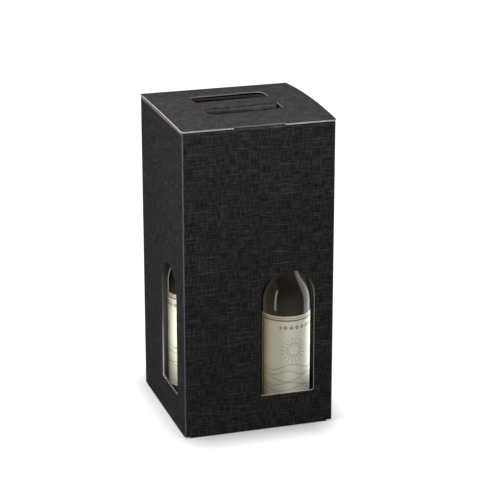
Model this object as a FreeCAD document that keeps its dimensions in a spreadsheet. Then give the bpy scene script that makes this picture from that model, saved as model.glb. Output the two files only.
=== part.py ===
import FreeCAD, Part
import math
import os
import Sketcher

# Bottle shipping box: one die-cut and folded sheet of fine-flute board with a window in each wall, a
# snap-lock bottom and a carrying strap cut in its lid, around a slotted cross divider and four bottles.
# The origin is the middle of the base. The front is towards -Y, the hinge of the lid is at +Y, and +Z is up.

V = FreeCAD.Vector
doc = FreeCAD.newDocument("bottle_shipping_box")

# Driving dimensions, in millimetres and degrees
dimensions = [
    # the folded box
    ("outer_width", 180.0),
    ("outer_depth", 180.0),
    ("outer_height", 368.0),
    ("board", 1.8),
    ("crease_inner_radius", 0.4),
    ("layer_gap", 0.2),
    ("flap_side_gap", 0.5),
    ("glue_lap_width", 20.0),
    ("glue_lap_end_gap", 12.0),
    # windows, each to the right of the middle of its wall as seen from outside
    ("window_width", 66.0),
    ("window_sill", 42.0),
    ("window_spring", 161.0),
    ("window_corner", 3.0),
    ("window_offset_front", 34.0),
    ("window_offset_right", 34.0),
    ("window_offset_back", 22.0),
    ("window_offset_left", 26.0),
    # lid, its bow, its lock tab and the slit that takes the tab
    ("lid_gap", 0.8),
    ("lid_rise_left", 1.0),
    ("lid_rise_right", 4.0),
    ("lid_hinge_rounding", 1.5),
    ("tab_width", 58.0),
    ("tab_length", 18.0),
    ("tab_corner", 6.0),
    ("tab_setback", 3.2),
    ("tab_notch", 1.3),
    ("slit_play", 1.2),
    # carrying strap between two slots, and the finger flaps folded down along it
    ("strap_width", 30.0),
    ("slot_length", 90.0),
    ("slot_width", 30.0),
    ("slot_corner", 10.0),
    ("strap_offset_x", 2.5),
    ("strap_offset_y", 8.0),
    ("strap_relief", 4.0),
    ("inner_slot_play", 1.5),
    ("finger_flap_play", 1.0),
    ("finger_flap_length", 26.0),
    ("finger_flap_angle", 14.0),
    ("finger_flap_corner", 9.0),
    # flaps under the lid
    ("inner_flap_end_gap", 2.0),
    ("dust_flap_length", 42.0),
    ("dust_flap_taper", 14.0),
    ("dust_flap_corner", 8.0),
    # snap-lock bottom
    ("lock_panel_past_middle", 2.0),
    ("lock_panel_taper", 24.0),
    ("lock_panel_shoulder", 46.0),
    ("tongue_width", 68.0),
    ("tongue_length", 28.0),
    ("tongue_rise_length", 10.0),
    ("tongue_corner", 9.0),
    ("floor_panel_length", 102.0),
    ("floor_recess_play", 2.0),
    ("side_flap_length", 52.0),
    ("side_lobe_length", 66.0),
    ("side_lobe_setback", 8.0),
    ("side_flap_front_taper", 34.0),
    ("side_flap_back_taper", 26.0),
    ("ramp_run", 4.0),
    # cross divider
    ("divider_board", 1.5),
    ("divider_height", 210.0),
    ("divider_end_gap", 0.5),
    ("divider_left_arm", 73.0),
    ("divider_slot_play", 0.2),
    ("divider_corner", 12.0),
    # bottles, seen from the base up
    ("bottle_radius", 28.5),
    ("bottle_height", 240.0),
    ("bottle_heel_radius", 4.0),
    ("punt_radius", 18.0),
    ("punt_depth", 9.0),
    ("shoulder_start", 136.5),
    ("shoulder_radius", 50.0),
    ("throat_radius", 30.0),
    ("neck_radius", 14.0),
    ("finish_ring_radius", 15.2),
    ("finish_ring_height", 8.0),
    ("finish_ring_drop", 10.0),
    ("front_right_bottle_shift", 2.5),
    ("back_left_bottle_shift", 1.4),
    # label and capsule on each bottle, and the way each label faces
    ("label_thickness", 0.15),
    ("label_foot", 9.0),
    ("label_height", 117.5),
    ("label_wrap_angle", 250.0),
    ("capsule_wall", 0.3),
    ("capsule_length", 56.0),
    ("skin_gap", 0.05),
    ("label_angle_front_right", 300.0),
    ("label_angle_front_left", 205.0),
    ("label_angle_back_left", 190.0),
    ("label_angle_back_right", 20.0),
]
sheet = doc.addObject("Spreadsheet::Sheet", "Dims")
for row, (alias, value) in enumerate(dimensions, start=1):
    sheet.set(f"A{row}", str(value))
    sheet.setAlias(f"A{row}", alias)
doc.recompute()


def size(alias):
    """The value of one driving dimension, for the few places where an edge is looked up by its position."""
    return float(sheet.get(alias))


# Levels and limits that several pieces share, as expressions of the driving dimensions
half_width = "(Dims.outer_width / 2)"
half_depth = "(Dims.outer_depth / 2)"
inner_half_width = f"({half_width} - Dims.board)"
inner_half_depth = f"({half_depth} - Dims.board)"
crease = "(Dims.board + Dims.crease_inner_radius)"
layer = "(Dims.board + Dims.layer_gap)"
lid_under = "(Dims.outer_height - Dims.board)"
inner_top = f"({lid_under} - Dims.lid_gap)"
dust_top = f"({inner_top} - {layer})"
tube_top = f"({dust_top} - {crease})"
floor_front = f"({layer} + Dims.board)"
floor_back = f"(3 * {layer} + Dims.board)"
strap_front = "(Dims.strap_offset_y - Dims.strap_width / 2)"
strap_back = "(Dims.strap_offset_y + Dims.strap_width / 2)"
fold_half = f"({half_width} - Dims.flap_side_gap)"


def plane_of(body, role):
    """The origin plane or axis of a body that has this role."""
    for feature in body.Origin.OriginFeatures:
        if feature.Role == role:
            return feature
    raise ValueError(f"{body.Label} has no {role}")


def new_body(label):
    """An empty body whose label is the name of its file."""
    body = doc.addObject("PartDesign::Body", label)
    body.Label = label
    return body


def new_sketch(body, role, name, offset="0"):
    """A sketch on one of the body's own planes, moved along the plane's normal by an expression."""
    sketch = body.newObject("Sketcher::SketchObject", name)
    sketch.AttachmentSupport = [(plane_of(body, role), "")]
    sketch.MapMode = "FlatFace"
    sketch.setExpression("AttachmentOffset.Base.z", offset)
    return sketch


def value_of(sketch, expression):
    """The number that an expression gives now."""
    return float(sketch.evalExpression(expression))


def bind(sketch, constraint, name, expression):
    """Adds a dimension to a sketch and ties it to an expression."""
    index = sketch.addConstraint(constraint)
    sketch.renameConstraint(index, name)
    sketch.setExpression(f"Constraints.{name}", expression)


def arc_between(start, end, radius, turn):
    """The shorter arc from start to end: turn is 1 for counter-clockwise and -1 for clockwise."""
    chord = end - start
    rise = math.sqrt(max(radius ** 2 - (chord.Length / 2) ** 2, 0.0))
    left = V(-chord.y, chord.x, 0).normalize()
    centre = (start + end) / 2 + left * (turn * rise)
    first, last = (start, end) if turn > 0 else (end, start)
    angles = [math.atan2(point.y - centre.y, point.x - centre.x) for point in (first, last)]
    return Part.ArcOfCircle(Part.Circle(centre, V(0, 0, 1), radius), angles[0], angles[1])


def draw_outline(sketch, name, corners, arcs=None):
    """Draws a closed outline. Each corner is a pair of expressions, (across, up). arcs gives (radius, turn) for
    an edge that leaves its corner as an arc, or (radius, turn, level of the centre) for a half circle."""
    arcs = arcs or {}
    count = len(corners)
    points = [V(value_of(sketch, across), value_of(sketch, up), 0) for across, up in corners]
    edges = []
    for i, start in enumerate(points):
        end = points[(i + 1) % count]
        if i in arcs:
            turn = arcs[i][1]
            curve = arc_between(start, end, value_of(sketch, arcs[i][0]), turn)
            ends = (1, 2) if turn > 0 else (2, 1)
        else:
            curve = Part.LineSegment(start, end)
            ends = (1, 2)
        edges.append((sketch.addGeometry(curve), ends))
    for i, (edge, ends) in enumerate(edges):
        next_edge, next_ends = edges[(i + 1) % count]
        sketch.addConstraint(Sketcher.Constraint("Coincident", edge, ends[1], next_edge, next_ends[0]))
    for i, (edge, ends) in enumerate(edges):
        across = Sketcher.Constraint("DistanceX", -1, 1, edge, ends[0], points[i].x)
        up = Sketcher.Constraint("DistanceY", -1, 1, edge, ends[0], points[i].y)
        bind(sketch, across, f"{name}_across{i}", corners[i][0])
        bind(sketch, up, f"{name}_up{i}", corners[i][1])
        if i not in arcs:
            continue
        if len(arcs[i]) == 3:
            centre = Sketcher.Constraint("DistanceY", -1, 1, edge, 3, value_of(sketch, arcs[i][2]))
            bind(sketch, centre, f"{name}_centre{i}", arcs[i][2])
        else:
            radius = Sketcher.Constraint("Radius", edge, value_of(sketch, arcs[i][0]))
            bind(sketch, radius, f"{name}_radius{i}", arcs[i][0])


def rounded_rectangle(sketch, name, low, high, radius):
    """A rectangle from low to high, each (across, up), with four rounded corners."""
    (left, bottom), (right, top) = low, high
    corners = [
        (f"{left} + {radius}", bottom), (f"{right} - {radius}", bottom),
        (right, f"{bottom} + {radius}"), (right, f"{top} - {radius}"),
        (f"{right} - {radius}", top), (f"{left} + {radius}", top),
        (left, f"{top} - {radius}"), (left, f"{bottom} + {radius}"),
    ]
    draw_outline(sketch, name, corners, {i: (radius, 1) for i in (1, 3, 5, 7)})


def extrude(body, kind, name, sketch, length, symmetric=False, reverse=False):
    """A pad or pocket of a sketch."""
    feature = body.newObject(f"PartDesign::{kind}", name)
    feature.Profile = sketch
    feature.setExpression("Length", length)
    feature.SideType = "Symmetric" if symmetric else "One side"
    feature.Reversed = reverse
    body.Tip = feature
    return feature


def revolve(body, name, sketch, angle):
    """Turns a sketch about its own upright axis, half the angle each way."""
    feature = body.newObject("PartDesign::Revolution", name)
    feature.Profile = sketch
    feature.ReferenceAxis = (sketch, ["V_Axis"])
    feature.Midplane = True
    feature.setExpression("Angle", angle)
    body.Tip = feature
    return feature


def loft(body, name, first, last):
    """A ruled loft from one sketch to another."""
    feature = body.newObject("PartDesign::AdditiveLoft", name)
    feature.Profile = first
    feature.Sections = [last]
    feature.Ruled = True
    body.Tip = feature
    return feature


def mirror(body, name, features):
    """Repeats features on the other side of the plane x = 0."""
    feature = body.newObject("PartDesign::Mirrored", name)
    feature.Originals = features
    feature.MirrorPlane = (plane_of(body, "YZ_Plane"), [""])
    body.Tip = feature
    return feature


def round_edges(body, name, radius, chosen):
    """A fillet on those edges of the body's last feature that the test called chosen accepts."""
    doc.recompute()
    base = body.Tip
    names = [f"Edge{i}" for i, edge in enumerate(base.Shape.Edges, start=1) if chosen(edge)]
    feature = body.newObject("PartDesign::Fillet", name)
    feature.Base = (base, names)
    feature.setExpression("Radius", radius)
    body.Tip = feature
    return feature


def fold_outline(sketch, name, side, wall, wall_end, level, upward, reach, lift=None, run=None):
    """Section of a wall that folds over into a flap. side is -1 or 1, the side of the box the wall stands on,
    wall is how far out its outside face is, wall_end the level where the section joins the wall, level the
    outside of the fold, and upward 1 for a fold at the top or -1 for one at the bottom. The flap ends at reach,
    measured in from the outside face. Where lift is given, a ramp as long as run lifts the flap by it."""

    def at(depth, rise):
        """A point so far in from the wall's outside face, and so far in from the fold's outside level."""
        return f"{side} * ({wall} - ({depth}))", f"{level} + {-upward} * ({rise})"

    across_outside, across_inside = at("0", "0")[0], at("Dims.board", "0")[0]
    outer_face = [at("0", crease), at(crease, "0")]
    inner_face = [at(crease, "Dims.board"), at("Dims.board", crease)]
    if lift is None:
        flap = [at(reach, "0"), at(reach, "Dims.board")]
    else:
        ramp_end = f"{crease} + {run}"
        flap = [
            at(ramp_end, lift), at(reach, lift),
            at(reach, f"{lift} + Dims.board"), at(ramp_end, f"{lift} + Dims.board"),
        ]
    corners = outer_face + flap + inner_face + [(across_inside, wall_end), (across_outside, wall_end)]
    inner_arc = len(outer_face) + len(flap)
    arcs = {0: (crease, side * upward), inner_arc: ("Dims.crease_inner_radius", -side * upward)}
    draw_outline(sketch, name, corners, arcs)


# Carton walls: a square tube, with the back wall carried up to the hinge of the lid
carton = new_body("carton")
sketch = new_sketch(carton, "XY_Plane", "wall_section", crease)
rounded_rectangle(
    sketch, "outside", (f"-{half_width}", f"-{half_depth}"), (half_width, half_depth), crease)
rounded_rectangle(
    sketch, "inside", (f"-{inner_half_width}", f"-{inner_half_depth}"), (inner_half_width, inner_half_depth),
    "Dims.crease_inner_radius")
extrude(carton, "Pad", "walls", sketch, f"{tube_top} - {crease}")
sketch = new_sketch(carton, "YZ_Plane", "back_wall_section")
draw_outline(sketch, "rim", [
    (inner_half_depth, tube_top), (half_depth, tube_top), (half_depth, lid_under), (inner_half_depth, lid_under)])
extrude(carton, "Pad", "back_wall_rim", sketch, f"2 * {fold_half}", symmetric=True)

# Inner flap, folded in from the front wall
sketch = new_sketch(carton, "YZ_Plane", "inner_flap_section")
fold_outline(
    sketch, "fold", -1, half_depth, tube_top, inner_top, 1,
    "Dims.outer_depth - Dims.board - Dims.inner_flap_end_gap")
extrude(carton, "Pad", "inner_flap", sketch, f"2 * {fold_half}", symmetric=True)


def handle_slots(sketch, relief, play):
    """Outlines of the two slots, rounded at their far corners. relief widens each slot towards the strap between
    them, and play lengthens it at both ends."""
    left = f"(Dims.strap_offset_x - Dims.slot_length / 2 - {play})"
    right = f"(Dims.strap_offset_x + Dims.slot_length / 2 + {play})"
    corner = "Dims.slot_corner"
    near, far = f"({strap_front} + {relief})", f"({strap_front} - Dims.slot_width)"
    draw_outline(sketch, "front_slot", [
        (f"{left} + {corner}", far), (f"{right} - {corner}", far), (right, f"{far} + {corner}"),
        (right, near), (left, near), (left, f"{far} + {corner}")], {1: (corner, 1), 5: (corner, 1)})
    near, far = f"({strap_back} - {relief})", f"({strap_back} + Dims.slot_width)"
    draw_outline(sketch, "back_slot", [
        (left, near), (right, near), (right, f"{far} - {corner}"), (f"{right} - {corner}", far),
        (f"{left} + {corner}", far), (left, f"{far} - {corner}")], {2: (corner, 1), 4: (corner, 1)})


# Slots and tab slit in the inner flap. Its part of the strap is narrower, so that the lid's finger flaps pass it
above_inner = f"{inner_top} + Dims.lid_gap / 2"
sketch = new_sketch(carton, "XY_Plane", "inner_slot_outline", above_inner)
handle_slots(sketch, "Dims.strap_relief", "Dims.inner_slot_play")
extrude(carton, "Pocket", "inner_slots", sketch, f"Dims.lid_gap / 2 + {layer}")
sketch = new_sketch(carton, "XY_Plane", "slit_outline", above_inner)
slit_half = "(Dims.tab_width / 2 + Dims.slit_play)"
slit_back = f"(Dims.tab_setback + Dims.board + Dims.slit_play - {half_depth})"
draw_outline(sketch, "slit", [
    (f"-{slit_half}", f"-{inner_half_depth}"), (slit_half, f"-{inner_half_depth}"),
    (slit_half, slit_back), (f"-{slit_half}", slit_back)])
extrude(carton, "Pocket", "tab_slit", sketch, f"Dims.lid_gap / 2 + {crease}")

# Dust flaps, folded in from the side walls under the inner flap
dust_half = f"({inner_half_depth} - Dims.flap_side_gap)"
fold_strip = f"{crease} + Dims.board"
sketch = new_sketch(carton, "XZ_Plane", "dust_flap_section")
fold_outline(sketch, "fold", 1, half_width, f"{tube_top} - Dims.board", dust_top, 1, fold_strip)
dust_fold = extrude(carton, "Pad", "dust_flap_fold", sketch, f"2 * {dust_half}", symmetric=True)
sketch = new_sketch(carton, "XY_Plane", "dust_flap_outline", f"{dust_top} - Dims.board")
dust_root = f"({half_width} - {crease})"
dust_end = f"({half_width} - Dims.dust_flap_length)"
dust_side = f"({dust_half} - Dims.dust_flap_taper)"
dust_straight = f"({dust_side} - Dims.dust_flap_corner)"
dust_round = ("Dims.dust_flap_corner", 1)
draw_outline(sketch, "flap", [
    (dust_root, f"-{dust_half}"), (dust_root, dust_half),
    (f"{dust_end} + Dims.dust_flap_corner", dust_side), (dust_end, dust_straight),
    (dust_end, f"-{dust_straight}"), (f"{dust_end} + Dims.dust_flap_corner", f"-{dust_side}"),
], {2: dust_round, 4: dust_round})
dust_flap = extrude(carton, "Pad", "dust_flap", sketch, "Dims.board")
mirror(carton, "left_dust_flap", [dust_fold, dust_flap])

# Lock panel, the outermost flap of the bottom, folded in from the front wall
lock_half = f"({half_width} - {crease} - Dims.ramp_run - Dims.flap_side_gap)"
lock_edge = "Dims.lock_panel_past_middle"
lock_narrow = f"({lock_half} - Dims.lock_panel_taper)"
lock_bend = f"({lock_edge} - Dims.lock_panel_shoulder)"
sketch = new_sketch(carton, "YZ_Plane", "lock_fold_section")
fold_outline(sketch, "fold", -1, half_depth, fold_strip, "0", -1, fold_strip)
extrude(carton, "Pad", "lock_panel_fold", sketch, f"2 * {lock_half}", symmetric=True)
sketch = new_sketch(carton, "XY_Plane", "lock_panel_outline")
lock_root = f"({crease} - {half_depth})"
draw_outline(sketch, "panel", [
    (f"-{lock_half}", lock_root), (lock_half, lock_root), (lock_half, lock_bend),
    (lock_narrow, lock_edge), (f"-{lock_narrow}", lock_edge), (f"-{lock_half}", lock_bend)])
extrude(carton, "Pad", "lock_panel", sketch, "Dims.board")

# Its tongue rises through the recess of the floor panel and lies on top of it
sketch = new_sketch(carton, "YZ_Plane", "tongue_section")
tongue_level = f"3 * {layer}"
tongue_bend = f"({lock_edge} + Dims.tongue_rise_length)"
tongue_tip = f"({lock_edge} + Dims.tongue_length)"
tongue_root = f"{lock_edge} - Dims.board"
draw_outline(sketch, "tongue", [
    (tongue_root, "0"), (lock_edge, "0"), (tongue_bend, tongue_level), (tongue_tip, tongue_level),
    (tongue_tip, floor_back), (tongue_bend, floor_back), (lock_edge, "Dims.board"), (tongue_root, "Dims.board")])
extrude(carton, "Pad", "lock_tongue", sketch, "Dims.tongue_width", symmetric=True)


def at_tongue_corner(edge):
    """True for the two short upright edges at the tip of the tongue."""
    tip = size("lock_panel_past_middle") + size("tongue_length")
    middle = edge.CenterOfMass
    beside = abs(abs(middle.x) - size("tongue_width") / 2) < 0.01
    return beside and abs(middle.y - tip) < 0.01 and edge.Length < 2 * size("board")


round_edges(carton, "tongue_corners", "Dims.tongue_corner", at_tongue_corner)

# Side flaps of the bottom, each on a short ramp that lifts it over the lock panel
side_back = f"({half_depth} - {crease} - 2 * Dims.ramp_run - Dims.flap_side_gap)"
sketch = new_sketch(carton, "XZ_Plane", "side_flap_section")
fold_outline(
    sketch, "fold", 1, half_width, fold_strip, "0", -1, f"{crease} + 2 * Dims.ramp_run",
    lift=layer, run="Dims.ramp_run")
side_fold = extrude(carton, "Pad", "side_flap_fold", sketch, f"2 * {side_back}", symmetric=True)
sketch = new_sketch(carton, "XY_Plane", "side_flap_outline", layer)
side_root = f"({half_width} - {crease} - Dims.ramp_run)"
side_end = f"({half_width} - Dims.side_flap_length)"
lobe_end = f"({half_width} - Dims.side_lobe_length)"
lobe_back = f"({lock_edge} - Dims.side_lobe_setback)"
draw_outline(sketch, "flap", [
    (side_root, f"-{side_back}"), (side_root, side_back), (side_end, f"{side_back} - Dims.side_flap_back_taper"),
    (side_end, lobe_back), (lobe_end, lobe_back), (lobe_end, f"Dims.side_flap_front_taper - {side_back}")])
side_flap = extrude(carton, "Pad", "side_flap", sketch, "Dims.board")
mirror(carton, "left_side_flap", [side_fold, side_flap])

# Floor panel, the innermost flap of the bottom, folded in from the back wall
floor_half = f"({inner_half_width} - Dims.flap_side_gap)"
floor_edge = f"({half_depth} - Dims.floor_panel_length)"
floor_level = f"2 * {layer}"
floor_run = "2 * Dims.ramp_run"
recess_half = "(Dims.tongue_width / 2 + Dims.floor_recess_play)"
recess_back = f"({tongue_bend} + Dims.floor_recess_play)"
sketch = new_sketch(carton, "YZ_Plane", "floor_fold_section")
fold_outline(
    sketch, "fold", 1, half_depth, fold_strip, "0", -1, f"{crease} + {floor_run} + Dims.board",
    lift=floor_level, run=floor_run)
extrude(carton, "Pad", "floor_panel_fold", sketch, f"2 * {floor_half}", symmetric=True)
sketch = new_sketch(carton, "XY_Plane", "floor_panel_outline", floor_level)
floor_root = f"({half_depth} - {crease} - {floor_run})"
draw_outline(sketch, "panel", [
    (f"-{floor_half}", floor_edge), (f"-{recess_half}", floor_edge), (f"-{recess_half}", recess_back),
    (recess_half, recess_back), (recess_half, floor_edge), (floor_half, floor_edge),
    (floor_half, floor_root), (f"-{floor_half}", floor_root)])
extrude(carton, "Pad", "floor_panel", sketch, "Dims.board")

# Glue lap, bent from the back wall and bonded inside the left wall
sketch = new_sketch(carton, "XY_Plane", "glue_lap_section", f"{crease} + Dims.glue_lap_end_gap")
lap_face = f"({inner_half_width} - Dims.board)"
lap_end = f"({inner_half_depth} - Dims.glue_lap_width)"
draw_outline(sketch, "lap", [
    (f"-{inner_half_width}", lap_end), (f"-{lap_face}", lap_end),
    (f"-{lap_face}", inner_half_depth), (f"-{inner_half_width}", inner_half_depth)])
extrude(carton, "Pad", "glue_lap", sketch, f"{tube_top} - {crease} - 2 * Dims.glue_lap_end_gap")


def window(name, role, centre, reverse):
    """An arched window, cut from the middle of the box out through one wall."""
    sketch = new_sketch(carton, role, f"{name}_outline")
    left = f"({centre} - Dims.window_width / 2)"
    right = f"({centre} + Dims.window_width / 2)"
    sill, corner, spring = "Dims.window_sill", "Dims.window_corner", "Dims.window_spring"
    corners = [
        (f"{left} + {corner}", sill), (f"{right} - {corner}", sill), (right, f"{sill} + {corner}"),
        (right, spring), (left, spring), (left, f"{sill} + {corner}"),
    ]
    arcs = {1: (corner, 1), 3: ("Dims.window_width / 2", 1, spring), 5: (corner, 1)}
    draw_outline(sketch, "window", corners, arcs)
    extrude(carton, "Pocket", name, sketch, f"{half_width} + {half_depth}", reverse=reverse)


window("front_window", "XZ_Plane", "Dims.window_offset_front", True)
window("back_window", "XZ_Plane", "-Dims.window_offset_back", False)
window("right_window", "YZ_Plane", "Dims.window_offset_right", True)
window("left_window", "YZ_Plane", "-Dims.window_offset_left", False)


def lid_rise(across):
    """How far the lid bows up in the middle of its depth, so far to the right of the middle."""
    share = f"({across} / Dims.outer_width + 0.5)"
    return f"(Dims.lid_rise_left + (Dims.lid_rise_right - Dims.lid_rise_left) * {share})"


def lid_level(across, along):
    """Level of the lid's upper face at a point of its bow."""
    return f"(Dims.outer_height + {lid_rise(across)} * (1 - ({along} / {half_depth}) ^ 2))"


# Lid panel: it bows up more along its right edge than along its left one, and is rounded over the hinge
lid = new_body("lid")
edges_of_lid = []
for name, across in (("left", f"-{half_width}"), ("right", half_width)):
    sketch = new_sketch(lid, "YZ_Plane", f"lid_{name}_edge", across)
    rise = lid_rise(across)
    bow = f"(({half_depth} ^ 2 + {rise} ^ 2) / (2 * {rise}))"
    rounding = "Dims.lid_hinge_rounding"
    round_end = f"({half_depth} - {rounding})"
    draw_outline(sketch, "edge", [
        (f"-{half_depth}", lid_under), (half_depth, lid_under), (half_depth, f"Dims.outer_height - {rounding}"),
        (round_end, lid_level(across, round_end)), (f"-{half_depth}", "Dims.outer_height"),
    ], {0: (bow, -1), 2: (f"1.1 * {rounding}", 1), 3: (bow, 1)})
    edges_of_lid.append(sketch)
loft(lid, "lid_panel", *edges_of_lid)

# Slots and the cut-back front edge on each side of the tab
above_lid = "Dims.outer_height + Dims.lid_rise_right + Dims.board"
through_lid = "Dims.lid_rise_right + 3 * Dims.board"
sketch = new_sketch(lid, "XY_Plane", "slot_outline", above_lid)
handle_slots(sketch, crease, "0")
extrude(lid, "Pocket", "slots", sketch, through_lid)
sketch = new_sketch(lid, "XY_Plane", "tab_notch_outline", above_lid)
notch_half = "(Dims.tab_width / 2 + Dims.tab_notch)"
notch_front = f"(-{half_depth} - Dims.board)"
notch_back = f"(Dims.tab_setback + {crease} - {half_depth})"
draw_outline(sketch, "notch", [
    (f"-{notch_half}", notch_front), (notch_half, notch_front),
    (notch_half, notch_back), (f"-{notch_half}", notch_back)])
extrude(lid, "Pocket", "tab_notches", sketch, through_lid)

# Lock tab, folded down at the front edge
tab_face = f"({half_depth} - Dims.tab_setback)"
tab_end = "(Dims.outer_height - Dims.tab_length)"
sketch = new_sketch(lid, "YZ_Plane", "tab_section")
fold_outline(sketch, "fold", -1, tab_face, tab_end, lid_level("0", notch_back), 1, fold_strip)
extrude(lid, "Pad", "tab", sketch, "Dims.tab_width", symmetric=True)


def at_tab_corner(edge):
    """True for the two short edges at the lower corners of the tab."""
    middle = edge.CenterOfMass
    low = abs(middle.z - size("outer_height") + size("tab_length")) < 0.01
    return low and abs(abs(middle.x) - size("tab_width") / 2) < 0.01 and edge.Length < 2 * size("board")


round_edges(lid, "tab_corners", "Dims.tab_corner", at_tab_corner)

finger_half = "(Dims.slot_length / 2 - Dims.finger_flap_play)"


def finger_flap(name, side, root):
    """A flap folded down from one edge of the strap, leaning back into the slot it was cut from. side is -1 for
    the front edge of the strap and 1 for the back edge, and root is where that edge is."""
    lean = "Dims.finger_flap_angle"
    sections = []
    for end, across in (("left", f"(Dims.strap_offset_x - {finger_half})"),
                        ("right", f"(Dims.strap_offset_x + {finger_half})")):
        sketch = new_sketch(lid, "YZ_Plane", f"{name}_{end}_edge", across)
        top = lid_level(across, root)
        centre = f"({root} - {side} * {crease})"
        pivot = f"({top} - {crease})"

        def at(radius, down):
            """A point on the leaning flap, by its distance from the bend's centre and along the flap."""
            shift = f"{side} * ({radius} * cos({lean}) + {down} * sin({lean}))"
            return f"{centre} + {shift}", f"{pivot} + {radius} * sin({lean}) - {down} * cos({lean})"

        corners = [
            (f"{centre} - {side} * Dims.board", f"{top} - Dims.board / 2"), (centre, top),
            at(crease, "0"), at(crease, "Dims.finger_flap_length"),
            at("Dims.crease_inner_radius", "Dims.finger_flap_length"), at("Dims.crease_inner_radius", "0"),
            (centre, f"{top} - Dims.board"),
        ]
        draw_outline(sketch, "flap", corners, {1: (crease, -side), 5: ("Dims.crease_inner_radius", side)})
        sections.append(sketch)
    loft(lid, name, *sections)


finger_flap("front_finger_flap", -1, strap_front)
finger_flap("back_finger_flap", 1, strap_back)


def at_finger_corner(edge):
    """True for the short edges at the free corners of the two finger flaps."""
    middle = edge.CenterOfMass
    low = middle.z < size("outer_height") - size("finger_flap_length") * 0.8
    end = size("slot_length") / 2 - size("finger_flap_play")
    beside = abs(abs(middle.x - size("strap_offset_x")) - end) < 0.01
    return low and beside and edge.Length < 2 * size("board")


round_edges(lid, "finger_flap_corners", "Dims.finger_flap_corner", at_finger_corner)


def divider_panel(label, role, first_arm, second_arm, slot_opens_up):
    """One slotted board of the cross, standing on the floor. Its arms reach out from the slot both ways."""
    body = new_body(label)
    sketch = new_sketch(body, role, f"{label}_outline")
    slot_half = "(Dims.divider_board / 2 + Dims.divider_slot_play)"
    top = f"({floor_back} + Dims.divider_height)"
    middle = f"({floor_back} + Dims.divider_height / 2)"
    corner = "Dims.divider_corner"
    slot_end = f"{middle} - Dims.divider_slot_play" if slot_opens_up else f"{middle} + Dims.divider_slot_play"
    mouth = top if slot_opens_up else floor_back
    slot = [
        (slot_half, mouth), (slot_half, slot_end), (f"-{slot_half}", slot_end), (f"-{slot_half}", mouth)]
    foot = [(f"-{first_arm}", floor_back), (second_arm, floor_back)]
    if not slot_opens_up:
        foot[1:1] = reversed(slot)
    shoulders = [
        (second_arm, f"{top} - {corner}"), (f"{second_arm} - {corner}", top),
        (f"{corner} - {first_arm}", top), (f"-{first_arm}", f"{top} - {corner}")]
    if slot_opens_up:
        shoulders[2:2] = slot
    draw_outline(sketch, "board", foot + shoulders)
    extrude(body, "Pad", f"{label}_board", sketch, "Dims.divider_board", symmetric=True)
    return body


# The left arm is cut short, which leaves the left window an open view of the bottle behind
long_arm = f"({inner_half_depth} - Dims.divider_end_gap)"
right_arm = f"({inner_half_width} - Dims.divider_end_gap)"
lengthwise_divider = divider_panel("divider_lengthwise", "YZ_Plane", long_arm, long_arm, True)
crosswise_divider = divider_panel("divider_crosswise", "XZ_Plane", "Dims.divider_left_arm", right_arm, False)

# Levels of the bottle's neck, above its base
ring_top = "(Dims.bottle_height - Dims.finish_ring_drop)"
ring_foot = f"({ring_top} - Dims.finish_ring_height)"


def bottle_outline(sketch):
    """Half section of a full bottle: punt, heel, straight side, round shoulder, throat, neck and ring."""
    punt_arc = "((Dims.punt_radius ^ 2 + Dims.punt_depth ^ 2) / (2 * Dims.punt_depth))"
    both = "(Dims.shoulder_radius + Dims.throat_radius)"
    across = "(Dims.neck_radius + Dims.throat_radius - Dims.bottle_radius + Dims.shoulder_radius)"
    climb = f"sqrt({both} ^ 2 - {across} ^ 2)"
    share = f"(Dims.shoulder_radius / {both})"
    corners = [
        ("0", "Dims.punt_depth"), ("Dims.punt_radius", "0"),
        ("Dims.bottle_radius - Dims.bottle_heel_radius", "0"), ("Dims.bottle_radius", "Dims.bottle_heel_radius"),
        ("Dims.bottle_radius", "Dims.shoulder_start"),
        (f"Dims.bottle_radius - Dims.shoulder_radius + {share} * {across}",
         f"Dims.shoulder_start + {share} * {climb}"),
        ("Dims.neck_radius", f"Dims.shoulder_start + {climb}"),
        ("Dims.neck_radius", ring_foot), ("Dims.finish_ring_radius", ring_foot),
        ("Dims.finish_ring_radius", ring_top), ("Dims.neck_radius", ring_top),
        ("Dims.neck_radius", "Dims.bottle_height"), ("0", "Dims.bottle_height"),
    ]
    arcs = {
        0: (punt_arc, -1), 2: ("Dims.bottle_heel_radius", 1),
        4: ("Dims.shoulder_radius", 1), 5: ("Dims.throat_radius", -1),
    }
    draw_outline(sketch, "bottle", corners, arcs)


def label_outline(sketch):
    """Half section of the paper label, just clear of the glass."""
    inside = "(Dims.bottle_radius + Dims.skin_gap)"
    outside = f"({inside} + Dims.label_thickness)"
    top = "(Dims.label_foot + Dims.label_height)"
    draw_outline(sketch, "label", [
        (inside, "Dims.label_foot"), (outside, "Dims.label_foot"), (outside, top), (inside, top)])


def capsule_outline(sketch):
    """Half section of the foil capsule, which follows the neck and its ring."""
    def skin(gap):
        """The foil's face at this distance from the glass, from its skirt up to its middle."""
        neck, ring = f"Dims.neck_radius + {gap}", f"Dims.finish_ring_radius + {gap}"
        return [
            (neck, "Dims.bottle_height - Dims.capsule_length"), (neck, f"{ring_foot} - {gap}"),
            (ring, f"{ring_foot} - {gap}"), (ring, f"{ring_top} + {gap}"), (neck, f"{ring_top} + {gap}"),
            (neck, f"Dims.bottle_height + {gap}"), ("0", f"Dims.bottle_height + {gap}"),
        ]

    outside = skin("(Dims.skin_gap + Dims.capsule_wall)")
    draw_outline(sketch, "capsule", outside + skin("Dims.skin_gap")[::-1])


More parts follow.
